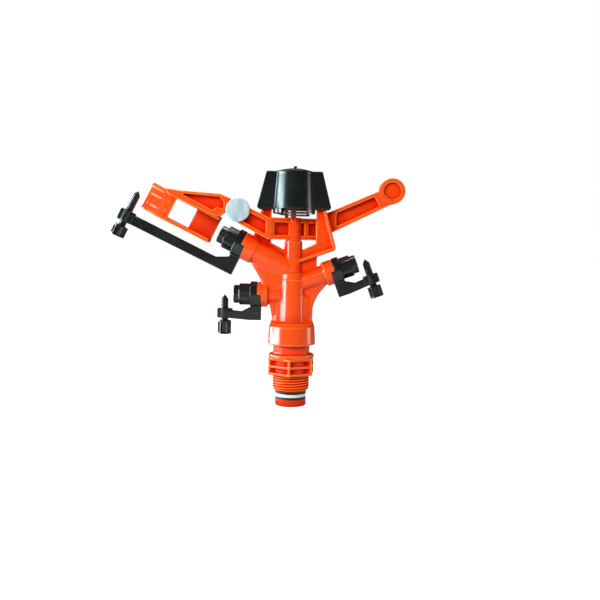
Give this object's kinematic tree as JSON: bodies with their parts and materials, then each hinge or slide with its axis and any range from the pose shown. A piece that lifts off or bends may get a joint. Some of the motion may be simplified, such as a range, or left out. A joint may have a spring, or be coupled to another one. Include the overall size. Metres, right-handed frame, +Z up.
{
  "type": "impact sprinkler",
  "caption": "Plastic impact sprinkler: rocker arm with steel weight on a turning body with upward and level nozzles, jet breaker screws and a male thread inlet.",
  "frame": {"origin": "on the vertical turning axis, in the plane where the inlet thread meets the hexagon (the sealing shoulder)", "axes": "+Z up along the turning axis, -X towards the main nozzle, +Y away from the side that carries the steel weight"},
  "size_m": [0.2658, 0.0448, 0.2141],
  "materials": {
    "orange_plastic": "glossy",
    "black_plastic": "glossy",
    "black_rubber": "matte",
    "white_plastic": "matte",
    "zinc_steel": "satin",
    "spring_steel": "satin"
  },
  "bodies": {
    "base": {"inlet_bush": "orange_plastic", "upper_seal": "black_rubber", "sand_seal": "black_rubber"},
    "rotor": {"body": "orange_plastic", "spindle": "orange_plastic", "slip_washer": "white_plastic", "lower_seal": "black_rubber", "bearing_spring": "spring_steel", "spring_washer": "white_plastic", "main_gasket": "black_rubber", "lower_gasket": "black_rubber", "rear_gasket": "black_rubber", "main_nozzle": "black_plastic", "lower_nozzle": "black_plastic", "rear_nozzle": "black_plastic", "main_bracket": "black_plastic", "lower_bracket": "black_plastic", "rear_bracket": "black_plastic", "fulcrum_pin": "spring_steel", "top_cap": "black_plastic", "arm_washer": "orange_plastic", "arm_spring": "spring_steel"},
    "arm": {"impact_arm": "orange_plastic", "arm_weight": "zinc_steel"},
    "main_breaker": {"main_breaker_screw": "black_plastic"},
    "lower_breaker": {"lower_breaker_screw": "black_plastic"},
    "rear_breaker": {"rear_breaker_screw": "black_plastic"}
  },
  "joints": [
    {"name": "rotor_spin", "type": "hinge", "parent": "base", "child": "rotor", "pos_m": [0, 0, 0], "axis": [0, 0, 1], "continuous": true},
    {"name": "arm_swing", "type": "hinge", "parent": "rotor", "child": "arm", "pos_m": [0, 0, 0.1295], "axis": [0, 0, 1], "range_deg": [0, 120], "stiffness_Nm_per_rad": 0.05, "springref_deg": -28.65, "deforming": ["arm_spring"]},
    {"name": "main_breaker_travel", "type": "slide", "parent": "rotor", "child": "main_breaker", "axis": [0.4305, 0, 0.9026], "range_m": [-0.008, 0.004]},
    {"name": "lower_breaker_travel", "type": "slide", "parent": "rotor", "child": "lower_breaker", "axis": [0, 0, 1], "range_m": [-0.008, 0.0019]},
    {"name": "rear_breaker_travel", "type": "slide", "parent": "rotor", "child": "rear_breaker", "axis": [-0.342, 0, 0.9397], "range_m": [-0.008, 0.0019]}
  ]
}
